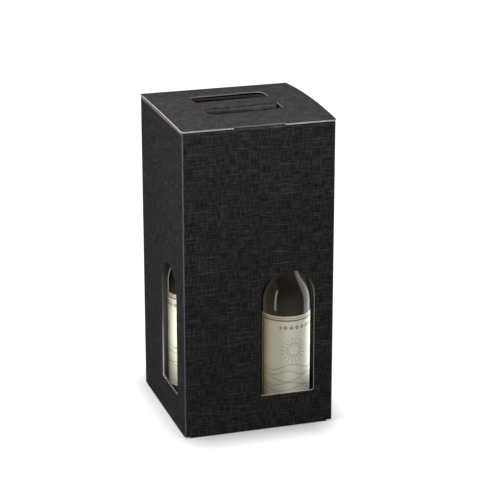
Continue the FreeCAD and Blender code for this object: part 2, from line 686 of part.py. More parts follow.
# Bottles with their labels and capsules, one to each cell. The front ones stand on the side flaps, and the back
# ones on the tongue. Two of them have slid a little to the right in their cells.
cell_across = f"(({inner_half_width} + Dims.divider_board / 2) / 2)"
cell_along = f"(({inner_half_depth} + Dims.divider_board / 2) / 2)"
bottle_places = {
    "front_right": (f"{cell_across} + Dims.front_right_bottle_shift", f"-{cell_along}", floor_front),
    "front_left": (f"-{cell_across}", f"-{cell_along}", floor_front),
    "back_left": (f"Dims.back_left_bottle_shift - {cell_across}", cell_along, floor_back),
    "back_right": (cell_across, cell_along, floor_back),
}
turned_pieces = {
    "bottle": (bottle_outline, "360"),
    "label": (label_outline, "Dims.label_wrap_angle"),
    "capsule": (capsule_outline, "360"),
}
bottle_bodies = []
for place, (across, along, foot) in bottle_places.items():
    for piece, (outline, angle) in turned_pieces.items():
        body = new_body(f"{piece}_{place}")
        sketch = new_sketch(body, "XZ_Plane", f"{piece}_{place}_section")
        outline(sketch)
        revolve(body, f"{piece}_{place}_turned", sketch, angle)
        body.Placement = FreeCAD.Placement(V(), FreeCAD.Rotation(V(0, 0, 1), size(f"label_angle_{place}")))
        body.setExpression("Placement.Rotation.Angle", f"Dims.label_angle_{place}")
        body.setExpression("Placement.Base.x", across)
        body.setExpression("Placement.Base.y", along)
        body.setExpression("Placement.Base.z", foot)
        bottle_bodies.append(body)

# Every object has to have built, and every piece has to be one sound solid, before anything is written
doc.recompute()
failed = [item.Label for item in doc.Objects if "Invalid" in item.State or "Error" in item.State]
if failed:
    raise RuntimeError(f"these did not build: {failed}")
pieces = [carton, lid, lengthwise_divider, crosswise_divider] + bottle_bodies
for body in pieces:
    shape = body.Shape
    if shape.isNull() or not shape.isValid() or len(shape.Solids) != 1:
        raise RuntimeError(f"{body.Label} is not one sound solid")
os.makedirs("parts", exist_ok=True)
for body in pieces:
    body.Shape.exportStep(os.path.join("parts", f"{body.Label}.step"))
    box = body.Shape.BoundBox
    print(f"{body.Label}: {body.Shape.Volume / 1000:.2f} ml, x {box.XMin:.1f} to {box.XMax:.1f}, "
          f"y {box.YMin:.1f} to {box.YMax:.1f}, z {box.ZMin:.1f} to {box.ZMax:.1f}")
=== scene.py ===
import math

import bpy
import numpy as np
from mathutils import Euler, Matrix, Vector

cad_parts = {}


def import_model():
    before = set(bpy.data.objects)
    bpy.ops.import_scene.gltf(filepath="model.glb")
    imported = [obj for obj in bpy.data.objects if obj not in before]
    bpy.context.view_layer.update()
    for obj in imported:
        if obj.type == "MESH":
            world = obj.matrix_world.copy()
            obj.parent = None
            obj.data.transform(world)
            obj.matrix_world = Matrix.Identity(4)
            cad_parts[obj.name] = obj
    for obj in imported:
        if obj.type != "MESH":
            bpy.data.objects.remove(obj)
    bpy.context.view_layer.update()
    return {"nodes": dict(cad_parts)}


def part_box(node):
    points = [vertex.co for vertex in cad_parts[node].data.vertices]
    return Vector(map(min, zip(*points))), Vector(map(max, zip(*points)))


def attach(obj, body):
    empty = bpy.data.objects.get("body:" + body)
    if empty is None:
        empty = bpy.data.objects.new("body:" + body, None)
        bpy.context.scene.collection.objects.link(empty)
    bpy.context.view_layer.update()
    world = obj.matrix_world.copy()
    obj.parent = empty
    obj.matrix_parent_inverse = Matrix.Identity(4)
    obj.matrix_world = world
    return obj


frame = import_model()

cadNodes = frame["nodes"]
mm = 0.001
places = ("front_right", "front_left", "back_left", "back_right")

# Values of the folded box that several pieces share, in metres
box = {
    "halfWidth": 90 * mm,
    "height": 368 * mm,
    "board": 1.8 * mm,
    "fold": 2.2 * mm,
    "lidGap": 0.8 * mm,
    "riseLeft": 1.0 * mm,
    "riseRight": 4.0 * mm,
    "tabHalf": 30.4 * mm,
}


# Materials: a few short helpers, then one function for each finish

def newMaterial(name):
    material = bpy.data.materials.new(name)
    material.use_nodes = True
    tree = material.node_tree
    shader = tree.nodes["Principled BSDF"]
    return material, tree, shader


def put(tree, socket, value):
    # a link where value is a socket, and a number otherwise
    if isinstance(value, bpy.types.NodeSocket):
        tree.links.new(value, socket)
    else:
        socket.default_value = value


def maths(tree, operation, first, second=0.0, clamp=False):
    node = tree.nodes.new("ShaderNodeMath")
    node.operation = operation
    node.use_clamp = clamp
    put(tree, node.inputs[0], first)
    put(tree, node.inputs[1], second)
    return node.outputs[0]


def add(tree, first, second, clamp=False):
    return maths(tree, "ADD", first, second, clamp)


def subtract(tree, first, second):
    return maths(tree, "SUBTRACT", first, second)


def multiply(tree, first, second, clamp=False):
    return maths(tree, "MULTIPLY", first, second, clamp)


def magnitude(tree, value):
    return maths(tree, "ABSOLUTE", value)


def larger(tree, first, second):
    return maths(tree, "MAXIMUM", first, second)


def less(tree, first, second):
    # 1 where first is less than second, and 0 elsewhere
    return maths(tree, "LESS_THAN", first, second)


def ramp(tree, value, low, high):
    # rises smoothly from 0 at low to 1 at high
    node = tree.nodes.new("ShaderNodeMapRange")
    node.interpolation_type = "SMOOTHSTEP"
    put(tree, node.inputs["Value"], value)
    node.inputs["From Min"].default_value = low
    node.inputs["From Max"].default_value = high
    return node.outputs["Result"]


def mixColour(tree, share, first, second):
    node = tree.nodes.new("ShaderNodeMix")
    node.data_type = "RGBA"
    put(tree, node.inputs["Factor"], share)
    put(tree, node.inputs["A"], first)
    put(tree, node.inputs["B"], second)
    return node.outputs["Result"]


def objectPlace(tree):
    # where the point is in the piece's own frame, in metres
    return tree.nodes.new("ShaderNodeTexCoord").outputs["Object"]


def objectNormal(tree):
    # which way the face points in the piece's own frame
    return tree.nodes.new("ShaderNodeTexCoord").outputs["Normal"]


def split(tree, vector):
    # its x, y and z
    node = tree.nodes.new("ShaderNodeSeparateXYZ")
    tree.links.new(vector, node.inputs[0])
    return node.outputs


def join(tree, x, y, z=0.0):
    node = tree.nodes.new("ShaderNodeCombineXYZ")
    for socket, value in zip(node.inputs, (x, y, z)):
        put(tree, socket, value)
    return node.outputs[0]


def noise(tree, place, scale=1.0, detail=2.0, roughness=0.5):
    node = tree.nodes.new("ShaderNodeTexNoise")
    put(tree, node.inputs["Vector"], place)
    node.inputs["Scale"].default_value = scale
    node.inputs["Detail"].default_value = detail
    node.inputs["Roughness"].default_value = roughness
    return node.outputs["Fac"]


def bump(tree, shader, height, distance, strength):
    node = tree.nodes.new("ShaderNodeBump")
    node.inputs["Strength"].default_value = strength
    node.inputs["Distance"].default_value = distance
    put(tree, node.inputs["Height"], height)
    tree.links.new(node.outputs[0], shader.inputs["Normal"])


facePattern = {
    "turned": 0.7,         # a part of the normal over this says that the face points that way
    "sideShift": 0.5,      # metres, so that the side walls don't repeat the front one
    "levelShift": 0.7,
}


def faceCoordinates(tree):
    # the point itself, and across and along on its face: y takes x's place on side walls, and z's on level
    # faces
    point = split(tree, objectPlace(tree))
    normal = split(tree, objectNormal(tree))

    def either(share, first, second):
        # first where share is 0, and second where it is 1
        return add(tree, multiply(tree, first, subtract(tree, 1.0, share)), multiply(tree, second, share))

    sideways = maths(tree, "GREATER_THAN", magnitude(tree, normal[0]), facePattern["turned"])
    level = maths(tree, "GREATER_THAN", magnitude(tree, normal[2]), facePattern["turned"])
    across = either(sideways, point[0], add(tree, point[1], facePattern["sideShift"]))
    along = either(level, point[2], add(tree, point[1], facePattern["levelShift"]))
    return point, across, along


linen = {
    "darkColour": (0.0042, 0.0042, 0.0042, 1),
    "threadColour": (0.052, 0.052, 0.0525, 1),
    # the next colour is the folds' wear and also the painted light on the finger flaps; the one after is the
    # flaps' painted shade
    "wearAndLightColour": (0.13, 0.13, 0.14, 1),
    "shadedColour": (0.002, 0.002, 0.002, 1),
    # changes for each metre of a thread's length and across the threads, and where in the noise they start
    "longThreads": (20.0, 640.0, 0.0),
    "shortThreads": (80.0, 880.0, 20.0),
    "uprightStart": 7.0,       # how much further on the upright threads start
    "detail": 3.0,
    "unevenness": 0.55,
    # the noise at which a thread begins, and at which it is full
    "levelShown": (0.54, 0.76),
    "uprightShown": (0.57, 0.82),
    "shortShown": (0.8, 1.26),
    "patches": 28.0,           # changes for each metre in how much the long threads show
    "patchStart": 3.0,
    "longShare": 1.25,
    "shortShare": 0.55,
    "evenWearAndLight": 0.1,               # how much of the wear and the painted light shows between the threads
    "foldReach": (0.85, 0.25),     # where wear starts and is full, in folds' radii in from the outside
    "roughness": 0.66,
    "shine": 0.1,
    "longRelief": 0.6,
    "shortRelief": 0.4,
    "relief": 0.12 * mm,
    "reliefStrength": 0.8,
}


def linenPaper():
    # black paper with long uneven threads pressed in it both ways, paler where a fold has rubbed, with
    # painted light on the finger flaps' upper part and painted shade on their lower part
    material, tree, shader = newMaterial("linenPaper")
    point, across, along = faceCoordinates(tree)

    def threadsAlong(slow, fine, start):
        # noise stretched one way and then the other
        level = join(tree, multiply(tree, across, slow), multiply(tree, along, fine), start)
        upright = join(tree, multiply(tree, across, fine), multiply(tree, along, slow),
                       start + linen["uprightStart"])
        return [noise(tree, way, 1.0, linen["detail"], linen["unevenness"]) for way in (level, upright)]

    level, upright = threadsAlong(*linen["longThreads"])
    threads = larger(tree, ramp(tree, level, *linen["levelShown"]),
                     ramp(tree, upright, *linen["uprightShown"]))
    tight = ramp(tree, add(tree, *threadsAlong(*linen["shortThreads"])), *linen["shortShown"])
    patches = noise(tree, join(tree, across, along, linen["patchStart"]), linen["patches"])
    shown = multiply(tree, multiply(tree, threads, patches), linen["longShare"])
    mottled = add(tree, shown, multiply(tree, tight, linen["shortShare"]), clamp=True)
    cloth = mixColour(tree, mottled, linen["darkColour"], linen["threadColour"])
    # painted light on the finger flaps' upper part, and painted shade on their lower part
    tabWearAndFingerLight, shaded = tabWearFlapLightAndShade(tree, point)
    cloth = mixColour(tree, shaded, cloth, linen["shadedColour"])
    wearAndLight = add(tree, foldWear(tree, point), tabWearAndFingerLight)
    byThread = add(tree, multiply(tree, level, 1 - linen["evenWearAndLight"]), linen["evenWearAndLight"])
    cloth = mixColour(tree, multiply(tree, wearAndLight, byThread), cloth, linen["wearAndLightColour"])
    put(tree, shader.inputs["Base Color"], cloth)
    shader.inputs["Roughness"].default_value = linen["roughness"]
    shader.inputs["Specular IOR Level"].default_value = linen["shine"]
    height = add(tree, multiply(tree, threads, linen["longRelief"]),
                 multiply(tree, tight, linen["shortRelief"]))
    bump(tree, shader, height, linen["relief"], linen["reliefStrength"])
    return material


def foldWear(tree, point):
    # 1 on the four upright folds, where both |x| and |y| come within a fold's radius of the outside
    start, end = [box["halfWidth"] - box["fold"] * share for share in linen["foldReach"]]
    reach = [ramp(tree, magnitude(tree, point[i]), start, end) for i in (0, 1)]
    return multiply(tree, reach[0], reach[1])


flapMarks = {
    "strapMiddle": (2.5 * mm, 8.0 * mm),
    "slotHalf": 44.4 * mm,
    "fingers": (15.1 * mm, 25.0 * mm),       # how near to the strap's middle line and how far the flaps lie
    # painted light on the finger flaps' upper part, and painted shade on their lower part
    "fingerHeights": (363 * mm, 370 * mm),
    "fingerLight": 0.5,
    "shadeHeights": (361.3 * mm, 366 * mm),
    "shade": 0.8,
    "tabBend": (-85.8 * mm, -86.5 * mm),
    "tabHeights": (365.8 * mm, 366.6 * mm),
}


def tabWearFlapLightAndShade(tree, point):
    # wear and painted light: 1 on the bend of the lock tab, which is wear, and up to a half on the finger
    # flaps, the more the higher up, which is painted light.
    # shade: painted shade on the finger flaps' lower part, which stays in the dark
    beside = magnitude(tree, subtract(tree, point[0], flapMarks["strapMiddle"][0]))
    fromStrap = magnitude(tree, subtract(tree, point[1], flapMarks["strapMiddle"][1]))
    near, far = flapMarks["fingers"]
    within = multiply(tree, less(tree, near, fromStrap), less(tree, fromStrap, far))
    inSlot = multiply(tree, less(tree, beside, flapMarks["slotHalf"]), within)
    raised = multiply(tree, ramp(tree, point[2], *flapMarks["fingerHeights"]), flapMarks["fingerLight"])
    finger = multiply(tree, inSlot, raised)
    bent = multiply(tree, ramp(tree, point[1], *flapMarks["tabBend"]),
                    ramp(tree, point[2], *flapMarks["tabHeights"]))
    onTab = multiply(tree, less(tree, magnitude(tree, point[0]), box["tabHalf"]), bent)
    lower = subtract(tree, flapMarks["shade"], ramp(tree, point[2], *flapMarks["shadeHeights"]))
    return larger(tree, finger, onTab), multiply(tree, inSlot, lower, clamp=True)


innerLiner = {
    "colours": ((0.10, 0.091, 0.082, 1), (0.2, 0.182, 0.164, 1)),
    "fibres": (900.0, 250.0),      # changes for each metre, across and along
    "fibreShare": 0.8,
    "ribShare": 0.05,
    "roughness": 0.85,
    "shine": 0.2,
    "ribRelief": 0.3,
    "relief": 0.1 * mm,
    "reliefStrength": 0.5,
}


def innerPaper():
    # plain dark brown liner, a little fibrous, with the flutes showing through as faint ribs: a sine across
    material, tree, shader = newMaterial("innerPaper")
    across, along = faceCoordinates(tree)[1:]
    acrossFibres, alongFibres = innerLiner["fibres"]
    fibres = noise(tree, join(tree, multiply(tree, across, acrossFibres),
                              multiply(tree, along, alongFibres)), 1.0, 3.0)
    ribs = maths(tree, "SINE", multiply(tree, across, 2 * math.pi / flutes["pitch"]))
    share = add(tree, multiply(tree, fibres, innerLiner["fibreShare"]),
                multiply(tree, ribs, innerLiner["ribShare"]))
    put(tree, shader.inputs["Base Color"], mixColour(tree, share, *innerLiner["colours"]))
    shader.inputs["Roughness"].default_value = innerLiner["roughness"]
    shader.inputs["Specular IOR Level"].default_value = innerLiner["shine"]
    height = add(tree, multiply(tree, ribs, innerLiner["ribRelief"]), fibres)
    bump(tree, shader, height, innerLiner["relief"], innerLiner["reliefStrength"])
    return material


cutEdge = {
    "colours": ((0.07, 0.06, 0.05, 1), (0.2, 0.18, 0.15, 1)),
    "grain": 1500.0,
    "roughness": 0.9,
}


def cutPaper():
    # the raw edge of the board between its liners
    material, tree, shader = newMaterial("cutPaper")
    grain = noise(tree, objectPlace(tree), cutEdge["grain"])
    put(tree, shader.inputs["Base Color"], mixColour(tree, grain, *cutEdge["colours"]))
    shader.inputs["Roughness"].default_value = cutEdge["roughness"]
    return material


flutes = {
    "pitch": 3.5 * mm,
    "proud": 0.22 * mm,       # how far the paper stands out of the cut face
    "least": 0.03 * mm,       # how far the hollows do
    "sunk": 0.25 * mm,        # how far the strip reaches into the board
    "linerShare": 0.1,
    "mediumShare": 0.15,
    "waveShare": 0.33,        # how far the wave swings from the middle
    "fall": (1.6, 1.1),       # the paper's height is the first less the second times the distance, 0 to 1
    "frontShare": 0.985,      # of the board's thickness
    "backShare": 0.46,        # half the back's width, of the board's thickness
    "outerLiner": 0.86,       # from here out the edge is the black liner's
    "stepsPerPitch": 14,
    "stepsAcross": 15,
    # the two tones of each raw edge, all of the same board: paler on the lid as painted light, darker at the
    # slots and nearly black at the inner flap's slots as painted shade, and darker and bluish at the left
    # window as painted shade
    "lidPaintedLightTones": ((0.5, 0.475, 0.41, 1), (0.85, 0.81, 0.72, 1)),
    "slotPaintedShadeTones": ((0.16, 0.135, 0.12, 1), (0.3, 0.255, 0.225, 1)),
    "innerSlotPaintedShadeTones": ((0.008, 0.007, 0.006, 1), (0.02, 0.017, 0.015, 1)),
    "windowShades": ((0.2, 0.19, 0.17, 1), (0.4, 0.385, 0.35, 1)),
    "leftWindowPaintedShadeTones": ((0.13, 0.14, 0.15, 1), (0.25, 0.265, 0.28, 1)),
    "hollowShadeAndLinerColour": (0.028, 0.024, 0.02, 1),
    "paperShown": (0.15, 0.7),
    "grain": 900.0,
    "roughness": 0.9,
    "shine": 0.2,
}


def flutePaper(name, low, high):
    # raw edge with its inner liner and wavy medium, which mix low and high: the attribute paper is 1 on them,
    # and 0 in the hollows and on the black outer liner. The hollows' dark colour is painted shade, and the
    # outer liner's is its own black
    material, tree, shader = newMaterial(name)
    attribute = tree.nodes.new("ShaderNodeAttribute")
    attribute.attribute_name = "paper"
    paper = mixColour(tree, noise(tree, objectPlace(tree), flutes["grain"]), low, high)
    shown = ramp(tree, attribute.outputs["Fac"], *flutes["paperShown"])
    put(tree, shader.inputs["Base Color"], mixColour(tree, shown, flutes["hollowShadeAndLinerColour"], paper))
    shader.inputs["Roughness"].default_value = flutes["roughness"]
    shader.inputs["Specular IOR Level"].default_value = flutes["shine"]
    return material


dividing = {
    "colours": ((0.13, 0.088, 0.05, 1), (0.26, 0.185, 0.11, 1)),
    "fibres": (300.0, 900.0),      # changes for each metre, level and upright
    "roughness": 0.88,
    "shine": 0.2,
    "relief": 0.1 * mm,
    "reliefStrength": 0.4,
}


def dividerBoard():
    # brown board of the cross divider, whose panels run along x and along y: x plus y is the way along either
    material, tree, shader = newMaterial("dividerBoard")
    point = split(tree, objectPlace(tree))
    levelFibres, uprightFibres = dividing["fibres"]
    fibres = noise(tree, join(tree, multiply(tree, add(tree, point[0], point[1]), levelFibres),
                              multiply(tree, point[2], uprightFibres)), 1.0, 3.0)
    put(tree, shader.inputs["Base Color"], mixColour(tree, fibres, *dividing["colours"]))
    shader.inputs["Roughness"].default_value = dividing["roughness"]
    shader.inputs["Specular IOR Level"].default_value = dividing["shine"]
    bump(tree, shader, fibres, dividing["relief"], dividing["reliefStrength"])
    return material


wineGlass = {
    "colours": ((0.052, 0.044, 0.035, 1), (0.06, 0.058, 0.036, 1)),
    "turning": 0.35,
    "rimLightShown": (0.45, 1.0),
    "roughness": 0.045,
    "index": 1.52,
    "shine": 0.25,
    "ripples": 26.0,
    "relief": 1.2 * mm,
    "reliefStrength": 0.15,
}


def darkGlass():
    # almost black glass over red wine: brown-black in the middle, and olive where it turns away, which is
    # painted light that stands in for light passing through the glass's rim
    material, tree, shader = newMaterial("darkGlass")
    turned = tree.nodes.new("ShaderNodeLayerWeight")
    turned.inputs["Blend"].default_value = wineGlass["turning"]
    shown = ramp(tree, turned.outputs["Facing"], *wineGlass["rimLightShown"])
    put(tree, shader.inputs["Base Color"], mixColour(tree, shown, *wineGlass["colours"]))
    shader.inputs["Roughness"].default_value = wineGlass["roughness"]
    shader.inputs["IOR"].default_value = wineGlass["index"]
    shader.inputs["Specular IOR Level"].default_value = wineGlass["shine"]
    ripples = noise(tree, objectPlace(tree), wineGlass["ripples"], 1.0)
    bump(tree, shader, ripples, wineGlass["relief"], wineGlass["reliefStrength"])
    return material


redFoil = {
    "colours": ((0.045, 0.006, 0.009, 1), (0.075, 0.012, 0.016, 1)),
    "marks": (90.0, 90.0, 900.0),      # changes for each metre along x, y and z
    "roughness": 0.34,
    "metallic": 0.45,
    "relief": 0.1 * mm,
    "reliefStrength": 0.4,
}


def capsuleFoil():
    # satin dark red foil with faint pull marks round the neck
    material, tree, shader = newMaterial("capsuleFoil")
    point = split(tree, objectPlace(tree))
    marks = noise(tree, join(tree, *[multiply(tree, point[i], redFoil["marks"][i]) for i in range(3)]))
    put(tree, shader.inputs["Base Color"], mixColour(tree, marks, *redFoil["colours"]))
    shader.inputs["Roughness"].default_value = redFoil["roughness"]
    shader.inputs["Metallic"].default_value = redFoil["metallic"]
    bump(tree, shader, marks, redFoil["relief"], redFoil["reliefStrength"])
    return material


label = {
    "paperColour": (0.86, 0.85, 0.70, 1),
    "shadeColour": (0.72, 0.62, 0.36, 1),
    "bandColour": (0.88, 0.72, 0.60, 1),
    "fibreColour": (0.5, 0.48, 0.38, 1),
    "lineColour": (0.15, 0.035, 0.02, 1),
    "inkColour": (0.10, 0.10, 0.05, 1),
    # how much of each colour shows
    "shadeShare": 0.55,
    "bandShare": 0.7,
    "fibreShare": 0.12,
    "lineShare": 0.85,
    "inkShare": 0.8,
    # lengths in millimetres: a line's second number is half its width
    "height": 117.5,
    "radius": 28.65,
    "border": 6.5,
    "sideLine": 0.8,
    "linesFrom": 2.3,
    "topLines": ((2.2, 0.5), (5.4, 0.8)),
    "bandTo": 5.3,
    "shadeReach": 14.0,
    "diamondPitch": 7.0,
    "diamondDown": 14.0,
    "diamondReach": 31.5,
    "diamondLine": (1.9, 0.75),
    "sun": (-14.0, 42.0),
    "rings": ((8.6, 0.28), (6.2, 0.2)),
    "rayCount": 9.0,
    "raySpread": 0.11,
    "rayLine": 0.22,
    "rayEnds": (10.5, 16.0),
    # each line of hills: how far down, how high its waves are, how long, and where they start in radians
    "hills": ((64.0, 4.0, 52.0, 0.4), (71.0, 3.0, 37.0, 2.1), (78.0, 3.6, 61.0, 4.0), (85.0, 2.4, 43.0, 1.2),
              (91.0, 2.8, 57.0, 5.1)),
    "hillLine": 0.26,
    "inkFrom": 8.6,
    # degrees
    "wrap": 250.0,
    "turns": {"front_right": 300.0, "front_left": 205.0, "back_left": 190.0, "back_right": 20.0},
    "fibres": 700.0,
    "roughness": 0.7,
    "shine": 0.25,
    "relief": 0.06 * mm,
    "reliefStrength": 0.5,
}


def past(tree, distance, start, soft=0.1):
    # 0 before start and 1 after it
    return ramp(tree, distance, start - soft, start + soft)


def before(tree, distance, end):
    # 1 before end and 0 after it
    return subtract(tree, 1.0, past(tree, distance, end))


def line(tree, distance, halfWidth, soft=0.12):
    # 1 where the distance from a curve is under halfWidth
    return subtract(tree, 1.0, past(tree, magnitude(tree, distance), halfWidth, soft))


def labelPaper(place):
    # cream paper with a ruled border, a row of small diamonds, a rayed sun and rows of low hills
    material, tree, shader = newMaterial(f"labelPaper_{place}")
    at = objectPlace(tree)
    point = split(tree, at)
    low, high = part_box(f"bottle_{place}")
    centre = (low + high) / 2
    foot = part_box(f"label_{place}")[0].z
    turn = math.radians(label["turns"][place])
    fromX = subtract(tree, point[0], centre.x)
    fromY = subtract(tree, point[1], centre.y)
    # the angle from the label's middle: the point is turned back by the label's own turn first
    backX = add(tree, multiply(tree, fromX, math.cos(turn)), multiply(tree, fromY, math.sin(turn)))
    backY = subtract(tree, multiply(tree, fromY, math.cos(turn)), multiply(tree, fromX, math.sin(turn)))
    across = multiply(tree, maths(tree, "ARCTAN2", backY, backX), label["radius"])
    up = multiply(tree, subtract(tree, point[2], foot), 1 / mm)
    down = subtract(tree, label["height"], up)
    half = math.radians(label["wrap"] / 2) * label["radius"]
    fromSide = subtract(tree, half, magnitude(tree, across))
    # border: a line down each side, and two across between them
    underTop = past(tree, down, label["linesFrom"])
    ruled = multiply(tree, line(tree, subtract(tree, fromSide, label["border"]), label["sideLine"]), underTop)
    between = multiply(tree, past(tree, fromSide, label["border"]), underTop)
    for depth, halfWidth in label["topLines"]:
        level = line(tree, subtract(tree, down, depth), halfWidth)
        ruled = larger(tree, ruled, multiply(tree, level, between))
    # row of diamonds: |across| plus |down| from the middle of a cell is the same all along a diamond
    pitch = label["diamondPitch"]
    cell = subtract(tree, maths(tree, "FLOORED_MODULO", across, pitch), pitch / 2)
    diamond = add(tree, magnitude(tree, cell), magnitude(tree, subtract(tree, down, label["diamondDown"])))
    row = less(tree, magnitude(tree, across), label["diamondReach"])
    size, halfWidth = label["diamondLine"]
    ruled = larger(tree, ruled, multiply(tree, row, line(tree, subtract(tree, diamond, size), halfWidth)))
    # sun, left of the middle: two rings with rays round them. A point is about as far from the next ray as
    # the sine of its bearing times the number of rays, times a share of its distance
    sunX = subtract(tree, across, label["sun"][0])
    sunY = subtract(tree, down, label["sun"][1])
    distance = maths(tree, "SQRT", add(tree, multiply(tree, sunX, sunX), multiply(tree, sunY, sunY)))
    bearing = maths(tree, "ARCTAN2", sunY, sunX)
    fromRay = multiply(tree, maths(tree, "SINE", multiply(tree, bearing, label["rayCount"])),
                       multiply(tree, distance, label["raySpread"]))
    first, last = label["rayEnds"]
    onRays = multiply(tree, past(tree, distance, first), before(tree, distance, last))
    ink = multiply(tree, line(tree, fromRay, label["rayLine"]), onRays)
    for radius, halfWidth in label["rings"]:
        ink = larger(tree, ink, line(tree, subtract(tree, distance, radius), halfWidth))
    # hills: sine waves of different length and place, each under the last
    for depth, swing, length, start in label["hills"]:
        phase = add(tree, multiply(tree, across, 2 * math.pi / length), start)
        wave = multiply(tree, maths(tree, "SINE", phase), swing)
        fromHill = subtract(tree, subtract(tree, down, depth), wave)
        ink = larger(tree, ink, line(tree, fromHill, label["hillLine"]))
    ink = multiply(tree, ink, past(tree, fromSide, label["inkFrom"]))
    # paper: darker towards its sides, which is painted shade, with a warm band along the top and faint fibres
    edge = subtract(tree, 1.0, ramp(tree, fromSide, label["border"], label["border"] + label["shadeReach"]))
    band = before(tree, down, label["bandTo"])
    fibre = noise(tree, at, label["fibres"], 3.0)
    colour = label["paperColour"]
    for shown, name in ((edge, "shade"), (band, "band"), (fibre, "fibre"), (ink, "ink"), (ruled, "line")):
        share = multiply(tree, shown, label[f"{name}Share"])
        colour = mixColour(tree, share, colour, label[f"{name}Colour"])
    put(tree, shader.inputs["Base Color"], colour)
    shader.inputs["Roughness"].default_value = label["roughness"]
    shader.inputs["Specular IOR Level"].default_value = label["shine"]
    bump(tree, shader, fibre, label["relief"], label["reliefStrength"])
    return material


# Which paper shows on each face of the carton and the lid, worked out from where the face is and points

def faceFacts(node):
    # each face's centre and outward normal, as arrays of three columns
    faces = node.data.polygons
    centres, normals = np.empty(len(faces) * 3), np.empty(len(faces) * 3)
    faces.foreach_get("center", centres)
    faces.foreach_get("normal", normals)
    return centres.reshape(-1, 3), normals.reshape(-1, 3)


def wear(node, materials, slots):
    # gives the node these materials and each face its slot
    node.data.materials.clear()
    for material in materials:
        node.data.materials.append(material)
    node.data.polygons.foreach_set("material_index", slots.astype(np.int32))


def paint(name, material):
    # one material all over a CAD piece
    materials = cadNodes[name].data.materials
    materials.clear()
    materials.append(material)


outside, inside, cut = 0, 1, 2

dressing = {
    "outerDepth": -0.3 * mm,       # faces less far in than this are the outer liner's
    "innerDepth": -1.5 * mm,       # and those further in than this the inner liner's
    "flapEndDepth": -1.9 * mm,
    "bottomFlaps": 9 * mm,         # flaps lie under this level
    "topFlaps": 340 * mm,          # and over this one
    "tilt": 0.05,                  # how much of its normal an upright face may have along z
    "squarely": 0.9,
    "tabTop": 365.5 * mm,
    "tabBack": -80 * mm,
}


def dressCarton(materials):
    # walls by their distance in from a rounded square, flaps by which way they face
    centres, normals = faceFacts(cadNodes["carton"])
    beyond = np.abs(centres[:, :2]) - (box["halfWidth"] - box["fold"])
    fromCorner = np.hypot(*np.maximum(beyond, 0).T)
    depth = np.where(beyond.min(axis=1) > 0, fromCorner, beyond.max(axis=1)) - box["fold"]
    slots = np.where(depth < dressing["innerDepth"], inside, cut)
    slots = np.where(depth > dressing["outerDepth"], outside, slots)
    upright = np.abs(normals[:, 2]) < dressing["tilt"]
    top = centres[:, 2] > dressing["topFlaps"]
    atEnds = top | (centres[:, 2] < dressing["bottomFlaps"])
    outwards = np.where(top, normals[:, 2], -normals[:, 2]) > 0
    slots = np.where(atEnds & ~upright, np.where(outwards, outside, inside), slots)
    slots = np.where(atEnds & upright & (depth < dressing["flapEndDepth"]), cut, slots)
    wear(cadNodes["carton"], materials, slots)


def dressLid(materials):
    # the panel and its flaps show linen where they face up, and the tab where it faces the front
    centres, normals = faceFacts(cadNodes["lid"])
    slots = np.where(normals[:, 2] < -dressing["tilt"], inside, cut)
    slots = np.where(normals[:, 2] > dressing["tilt"], outside, slots)
    onTab = (centres[:, 2] < dressing["tabTop"]) & (centres[:, 1] < dressing["tabBack"])
    slots = np.where(onTab & (normals[:, 1] < -dressing["squarely"]), outside, slots)
    slots = np.where(onTab & (normals[:, 1] > dressing["squarely"]), inside, slots)
    wear(cadNodes["lid"], materials, slots)


# Raw edges: a strip along each cut, with two liners and the wavy medium standing out of it

def addMesh(name, points, faces, body, materials):
    mesh = bpy.data.meshes.new(name)
    mesh.from_pydata(points, [], faces)
    mesh.update()
    for material in materials:
        mesh.materials.append(material)
    piece = bpy.data.objects.new(name, mesh)
    bpy.context.collection.objects.link(piece)
    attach(piece, body)
    return piece


def resample(path, step):
    # points at even steps along a polyline, and how far along it each one is
    lengths = np.concatenate([[0], np.cumsum(np.linalg.norm(np.diff(path, axis=0), axis=1))])
    count = max(int(round(lengths[-1] / step)), 2)
    at = np.linspace(0, lengths[-1], count + 1)
    return np.stack([np.interp(at, lengths, path[:, i]) for i in range(3)], axis=1), at


def oneWay(*direction):
    # the same way at every point
    def outward(points):
        return points * 0 + direction
    return outward


